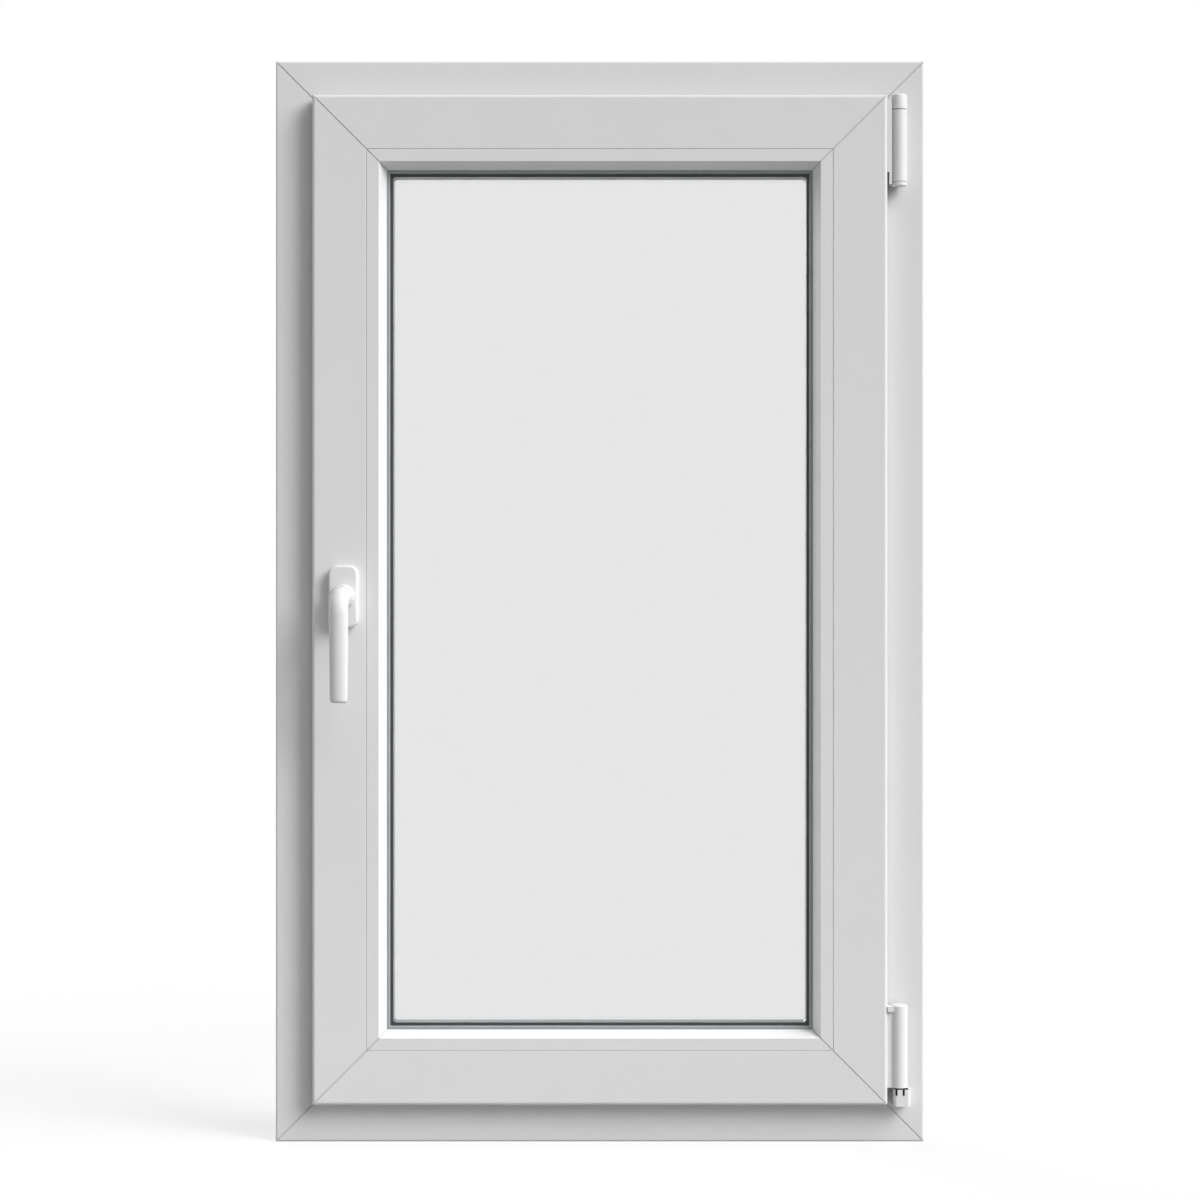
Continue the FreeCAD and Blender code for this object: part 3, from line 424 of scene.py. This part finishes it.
rubberLooks = {
    "greyRubber": {"tone": colour(0.32, 0.345, 0.355), "rough": (0.5, 0.68)},
    "darkRubber": {"tone": colour(0.02, 0.022, 0.024), "rough": (0.5, 0.7)},
    "sealant": {"tone": colour(0.02, 0.021, 0.023), "rough": (0.45, 0.65)},
    "blockPlastic": {"tone": colour(0.16, 0.21, 0.3), "rough": (0.45, 0.6)},
}
rubberSkin = {"cloudSize": 60.0, "cloudDepth": 0.12, "grain": 1800.0, "waves": 120.0, "depth": 0.00002}


def makeRubber(name):
    look = {**rubberLooks[name], **rubberSkin}
    material, tree, shader = newMaterial(name, Specular_IOR_Level=0.4)
    tone = useGroup(
        tree, cloudyTone, Colour=look["tone"], Clouds=look["cloudSize"], Depth=look["cloudDepth"]
    )
    join(tree, tone.outputs["Colour"], shader.inputs["Base Color"])
    skin = useGroup(tree, mouldedSkin, Grain=look["grain"], Waves=look["waves"])
    join(tree, spreadValue(tree, skin.outputs["Mask"], *look["rough"]), shader.inputs["Roughness"])
    addBump(tree, shader, skin.outputs["Height"], look["depth"])
    return material


metalLooks = {
    "spacerMetal": {"tone": colour(0.17, 0.185, 0.2), "rough": (0.38, 0.5), "metallic": 0.85},
    "pinSteel": {"tone": colour(0.55, 0.56, 0.57), "rough": (0.25, 0.38), "metallic": 1.0},
    # The lower pin is near black: painted shade in the gap under the barrel.
    "paintedShadeSteel": {"tone": colour(0.06, 0.06, 0.063), "rough": (0.3, 0.45), "metallic": 0.6},
}
metalSkin = {"cloudSize": 40.0, "cloudDepth": 0.1, "stretch": (900.0, 900.0, 900.0), "depth": 0.00001}


def makeMetal(name):
    look = {**metalLooks[name], **metalSkin}
    material, tree, shader = newMaterial(name, Metallic=look["metallic"])
    tone = useGroup(
        tree, cloudyTone, Colour=look["tone"], Clouds=look["cloudSize"], Depth=look["cloudDepth"]
    )
    join(tree, tone.outputs["Colour"], shader.inputs["Base Color"])
    join(tree, spreadValue(tree, tone.outputs["Mask"], *look["rough"]), shader.inputs["Roughness"])
    lines = useGroup(tree, drawnLines, Stretch=look["stretch"])
    addBump(tree, shader, lines.outputs["Height"], look["depth"])
    return material


glassLook = {
    "tint": colour(0.884, 0.887, 0.887),
    "waveScale": 3.0,
    "waveDepth": 0.00002,
}


def makeGlass(name):
    # Float glass: clear, with slow waves.
    look = glassLook
    material, tree, shader = newMaterial(
        name, Transmission_Weight=1.0, IOR=1.5, Roughness=0.0, Base_Color=look["tint"]
    )
    place = addNode(tree, "ShaderNodeTexCoord")
    waves = addNode(tree, "ShaderNodeTexNoise")
    waves.inputs["Scale"].default_value = look["waveScale"]
    waves.inputs["Detail"].default_value = 1
    join(tree, place.outputs["Object"], waves.inputs["Vector"])
    addBump(tree, shader, waves.outputs[0], look["waveDepth"])
    return material


frameLow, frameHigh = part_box("frame_sill")[0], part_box("frame_head")[1]
sashLow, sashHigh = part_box("sash_bottom_rail")[0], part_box("sash_top_rail")[1]
frameAcross = makeProfilePlastic("framePlasticAcross", False, frameLow, frameHigh)
frameUpright = makeProfilePlastic("framePlasticUpright", True, frameLow, frameHigh)
sashAcross = makeProfilePlastic("sashPlasticAcross", False, sashLow, sashHigh)
sashUpright = makeProfilePlastic("sashPlasticUpright", True, sashLow, sashHigh)
fittingWhite = makeFittingWhite("fittingWhite", fittingLook)
hingeLook = {**fittingLook, "white": colour(0.8, 0.803, 0.807)}
hingeWhite = makeFittingWhite("hingeWhite", hingeLook)

# The slots and the top of the lower pivot rest are painted near black: painted shade in the gap under the
# barrel. How far this stays inside its box:
shadedRecess = {"sides": 0.0015, "front": 0.0012, "foot": 0.0099, "past": 0.001}
restLow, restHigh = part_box("hinge_bottom_rest")
pivotLow = restLow + Vector((shadedRecess["sides"], shadedRecess["front"], shadedRecess["foot"]))
pivotHigh = restHigh + Vector((-shadedRecess["sides"], shadedRecess["past"], shadedRecess["past"]))
restWhite = makeFittingWhite("restWhite", hingeLook, (pivotLow, pivotHigh))
# The lever's white is darker than the other fittings: painted shade that tones down the lever's lit side.
leverShadedWhite = makeFittingWhite("leverShadedWhite", {**fittingLook, "white": colour(0.73, 0.732, 0.736)})
clearGlass = makeGlass("clearGlass")
rubbers = {name: makeRubber(name) for name in rubberLooks}
metals = {name: makeMetal(name) for name in metalLooks}

finishes = {
    "frame_sill": frameAcross, "frame_head": frameAcross,
    "frame_jamb_left": frameUpright, "frame_jamb_right": frameUpright,
    "sash_bottom_rail": sashAcross, "sash_top_rail": sashAcross,
    "sash_lock_stile": sashUpright, "sash_hinge_stile": sashUpright,
    "bead_bottom": sashAcross, "bead_top": sashAcross,
    "bead_left": sashUpright, "bead_right": sashUpright,
    "glass_inner_pane": clearGlass, "glass_outer_pane": clearGlass,
    "glass_spacer": metals["spacerMetal"], "glass_edge_seal": rubbers["sealant"],
    "gasket_inner": rubbers["greyRubber"], "gasket_outer": rubbers["darkRubber"],
    "seal_sash": rubbers["greyRubber"], "seal_frame": rubbers["greyRubber"],
    "setting_block_left": rubbers["blockPlastic"], "setting_block_right": rubbers["blockPlastic"],
    "handle_rosette": fittingWhite, "handle_lever": leverShadedWhite,
    "hinge_top_bearing": hingeWhite, "hinge_top_ring": hingeWhite, "hinge_top_cap": hingeWhite,
    "hinge_top_leaf": hingeWhite, "hinge_top_pin": metals["pinSteel"],
    "hinge_bottom_barrel": hingeWhite, "hinge_bottom_rest": restWhite,
    "hinge_bottom_pin": metals["paintedShadeSteel"],
    "drain_cap_left": frameAcross, "drain_cap_right": frameAcross,
}


def dressNodes():
    for name, material in finishes.items():
        piece = nodes[name]
        for slot in piece.material_slots:
            slot.material = material
    for name in ("glass_inner_pane", "glass_outer_pane"):
        nodes[name].visible_shadow = False      # daylight passes through the panes


dressNodes()
print("materials on", len(finishes), "nodes")


# Smooth handle and hinge cap in place of their faceted solids

sharpEdge = radians(40)      # edges that bend more than this stay sharp


def meshPiece(name, vertices, faces, material, slotName):
    mesh = bpy.data.meshes.new(name)
    mesh.from_pydata(vertices, [], faces)
    mesh.polygons.foreach_set("use_smooth", [True] * len(mesh.polygons))
    mesh.set_sharp_from_angle(angle=sharpEdge)
    mesh.materials.append(material)
    piece = bpy.data.objects.new(name, mesh)
    scene.collection.objects.link(piece)
    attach(piece, "root")
    return piece


def skinRings(rings):
    # Joins rings of equally many points and closes both ends.
    count = len(rings[0])
    vertices = [point for ring in rings for point in ring]
    faces = [tuple(reversed(range(count)))]
    for level in range(len(rings) - 1):
        base = level * count
        for i in range(count):
            following = (i + 1) % count
            faces.append((base + i, base + following, base + count + following, base + count + i))
    last = (len(rings) - 1) * count
    faces.append(tuple(range(last, last + count)))
    return vertices, faces


leverShape = {
    "roundSteps": 56,
    "collarRadius": 0.011,
    "collarHeight": 0.012,
    "collarEdge": 0.0022,
    "collarEdgeSteps": 6,
    "neck": 0.024,
    "bend": 0.016,
    "bendSteps": 14,
    "bendHalfWidth": 0.0086,
    "bendHalfDepth": (0.0084, 0.00738),
    "middleHalf": (0.0085, 0.0069),
    "endHalf": (0.0079, 0.006),
    "length": 0.096,
    "endRadius": 0.003,
    "endSteps": 6,
}


def leverSections():
    # Each section: how far out, how far down, turn, half width, half depth.
    shape = leverShape
    reach = shape["neck"] + shape["bend"]
    first, second = shape["bendHalfDepth"]
    sections = [(0.0, 0.0, 0.0, shape["bendHalfWidth"], first)]
    for step in range(shape["bendSteps"] + 1):
        share = step / shape["bendSteps"]
        turn = share * pi / 2
        sections.append((
            shape["neck"] + shape["bend"] * sin(turn), shape["bend"] * (1 - cos(turn)), turn,
            shape["bendHalfWidth"], first + (second - first) * share,
        ))
    middle = (shape["bend"] + shape["length"]) / 2
    sections.append((reach, middle, pi / 2, *shape["middleHalf"]))
    width, depth = shape["endHalf"]
    for step in range(shape["endSteps"] + 1):
        turn = step / shape["endSteps"] * pi / 2
        tuck = shape["endRadius"] * (1 - cos(turn))
        down = shape["length"] - shape["endRadius"] * (1 - sin(turn))
        sections.append((reach, down, pi / 2, width - tuck, depth - tuck))
    return sections


def buildLever(axisX, axisZ, front):
    count = leverShape["roundSteps"]
    rings = []
    for out, down, turn, width, depth in leverSections():
        ring = []
        for i in range(count):
            angle = 2 * pi * i / count
            tall = depth * sin(angle)
            ring.append((
                axisX + width * cos(angle), front - out - tall * sin(turn), axisZ - down + tall * cos(turn)
            ))
        rings.append(ring)
    lever = meshPiece("leverGrip", *skinRings(rings), leverShadedWhite, "fitting_white")
    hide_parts("handle_lever")


def latheRings(profile, centre, axis, count):
    # profile: pairs of radius and place along the axis, "out" of the window or "up".
    rings = []
    for radius, along in profile:
        ring = []
        for i in range(count):
            angle = 2 * pi * i / count
            first, second = radius * cos(angle), radius * sin(angle)
            if axis == "out":
                ring.append((centre[0] + first, centre[1] - along, centre[2] + second))
            else:
                ring.append((centre[0] + first, centre[1] + second, centre[2] + along))
        rings.append(ring)
    return rings


def roundedTop(radius, height, edge, steps):
    # The rounded upper edge of a lathe profile.
    points = []
    for step in range(steps + 1):
        turn = step / steps * pi / 2
        points.append((radius - edge * (1 - cos(turn)), height - edge * (1 - sin(turn))))
    return points


def buildCollar(axisX, axisZ, front):
    shape = leverShape
    profile = [(shape["collarRadius"], 0.0)]
    profile += roundedTop(
        shape["collarRadius"], shape["collarHeight"], shape["collarEdge"], shape["collarEdgeSteps"]
    )
    rings = latheRings(profile, (axisX, front, axisZ), "out", shape["roundSteps"])
    meshPiece("leverCollar", *skinRings(rings), leverShadedWhite, "fitting_white")


rosetteShape = {
    "corner": 0.008,
    "cornerSteps": 8,
    "edge": 0.0022,
    "edgeSteps": 6,
    "flatRim": 0.0008,      # flat ring inside the rounded edge
    "leastCorner": 0.0004,
}


def roundedRectangle(halfWidth, halfHeight, radius, steps):
    points = []
    for quarter, (sideX, sideZ) in enumerate(((1, 1), (-1, 1), (-1, -1), (1, -1))):
        for step in range(steps + 1):
            angle = quarter * pi / 2 + step / steps * pi / 2
            points.append((
                sideX * (halfWidth - radius) + radius * cos(angle),
                sideZ * (halfHeight - radius) + radius * sin(angle),
            ))
    return points


def buildRosette(low, high):
    shape = rosetteShape
    middleX, middleZ = (low.x + high.x) / 2, (low.z + high.z) / 2
    halfWidth, halfHeight = (high.x - low.x) / 2, (high.z - low.z) / 2
    levels = [(0.0, high.y)]
    for step in range(shape["edgeSteps"] + 1):
        turn = step / shape["edgeSteps"] * pi / 2
        levels.append((shape["edge"] * (1 - cos(turn)), low.y + shape["edge"] * (1 - sin(turn))))
    levels.append((shape["edge"] + shape["flatRim"], low.y))
    rings = []
    for inset, out in levels:
        corner = max(shape["corner"] - inset, shape["leastCorner"])
        outline = roundedRectangle(halfWidth - inset, halfHeight - inset, corner, shape["cornerSteps"])
        rings.append([(middleX + x, out, middleZ + z) for x, z in outline])
    rosette = meshPiece("rosetteCover", *skinRings(rings), fittingWhite, "fitting_white")
    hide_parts("handle_rosette")


capShape = {
    "seam": 0.0008,
    "seamDepth": 0.0022,
    "edge": 0.0018,
    "edgeSteps": 6,
    "roundSteps": 48,
}


def buildHingeCap():
    low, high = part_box("hinge_top_cap")
    radius, height = (high.x - low.x) / 2, high.z - low.z
    seam, inner = capShape["seam"], radius - capShape["seamDepth"]
    profile = [(inner, 0.0), (inner, seam), (radius, seam)]
    profile += roundedTop(radius, height, capShape["edge"], capShape["edgeSteps"])
    centre = ((low.x + high.x) / 2, (low.y + high.y) / 2, low.z)
    rings = latheRings(profile, centre, "up", capShape["roundSteps"])
    cap = meshPiece("hingeCap", *skinRings(rings), hingeWhite, "fitting_white")
    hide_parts("hinge_top_cap")


rosetteLow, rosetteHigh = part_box("handle_rosette")
handleX = (rosetteLow.x + rosetteHigh.x) / 2
handleZ = (rosetteLow.z + rosetteHigh.z) / 2
buildRosette(rosetteLow, rosetteHigh)
buildLever(handleX, handleZ, rosetteLow.y)
buildCollar(handleX, handleZ, rosetteLow.y)
buildHingeCap()
print("smooth pieces built")


# Studio: white surroundings, a pale floor and soft lamps

studio = {
    "surroundings": 0.04,       # how strongly the white surroundings light the object
    "floorSize": 6.0,
    "floorShade": 0.26,         # share of the seen floor that takes shadow
    "floorGlow": 0.72,
    "floorBounce": colour(0.42, 0.42, 0.42),
    "fadeStart": 0.5,           # metres from the window where the floor starts to lose its shadow
    "fadeEnd": 1.3,
    "lampDistance": 3,
}

# Name: sideways angle from the front, height angle, softness in degrees, level on a white face.
lamps = {
    "keyLamp": (56, 30, 36, 0.71),
    "highKeyLamp": (70, 46, 40, 0.32),
    "frontLamp": (38, 48, 40, 0.27),
    "fillLamp": (-80, 8, 45, 0.18),
    "backLamp": (-150, 22, 45, 0.56),
}


def makeSurroundings():
    # White where it is seen directly, in gloss or through glass; softer as a light.
    world = bpy.data.worlds.new("whiteRoom")
    world.use_nodes = True
    scene.world = world
    world.cycles.sampling_method = "NONE"
    tree = world.node_tree
    back = tree.nodes["Background"]
    back.inputs["Color"].default_value = colour(1, 1, 1)
    level = mathStep(tree, "MULTIPLY", seenDirectly(tree), 1 - studio["surroundings"])
    join(tree, mathStep(tree, "ADD", level, studio["surroundings"]), back.inputs["Strength"])


def makeFloor():
    # White to the eye, with the object's shadow near it and none far off, so no horizon shows.
    bpy.ops.mesh.primitive_plane_add(size=studio["floorSize"], location=(0, 0, 0))
    floor = bpy.context.object
    floor.name = "paleFloor"
    material, tree, shader = newMaterial("paleFloor", Roughness=0.9, Specular_IOR_Level=0.0)
    seen = seenDirectly(tree)
    place = addNode(tree, "ShaderNodeTexCoord")
    distance = addNode(tree, "ShaderNodeVectorMath", operation="LENGTH")
    join(tree, place.outputs["Object"], distance.inputs[0])
    fade = addNode(tree, "ShaderNodeMapRange", interpolation_type="SMOOTHSTEP")
    fade.inputs["From Min"].default_value = studio["fadeStart"]
    fade.inputs["From Max"].default_value = studio["fadeEnd"]
    join(tree, distance.outputs["Value"], fade.inputs["Value"])
    near = mathStep(tree, "SUBTRACT", 1, fade.outputs["Result"])
    shade = mathStep(tree, "MULTIPLY", near, studio["floorShade"])
    glow = mathStep(tree, "SUBTRACT", 1, mathStep(tree, "MULTIPLY", near, 1 - studio["floorGlow"]))
    join(tree, mixColours(tree, seen, studio["floorBounce"], shade), shader.inputs["Base Color"])
    shader.inputs["Emission Color"].default_value = colour(1, 1, 1)
    join(tree, mathStep(tree, "MULTIPLY", seen, glow), shader.inputs["Emission Strength"])
    material.cycles.emission_sampling = "NONE"
    floor.data.materials.append(material)


def addLamp(name, sideways, upward, softness, level):
    # level is how bright the lamp alone makes a white face turned straight to it.
    lamp = bpy.data.lights.new(name, "SUN")
    lamp.angle = radians(softness)
    lamp.energy = level * pi
    holder = bpy.data.objects.new(name, lamp)
    scene.collection.objects.link(holder)
    turn, rise = radians(sideways), radians(upward)
    toLamp = Vector((sin(turn) * cos(rise), -cos(turn) * cos(rise), sin(rise)))
    holder.location = windowMiddle + toLamp * studio["lampDistance"]
    holder.rotation_euler = toLamp.to_track_quat("Z", "Y").to_euler()


makeSurroundings()
makeFloor()
for name, values in lamps.items():
    addLamp(name, *values)
print("studio ready")
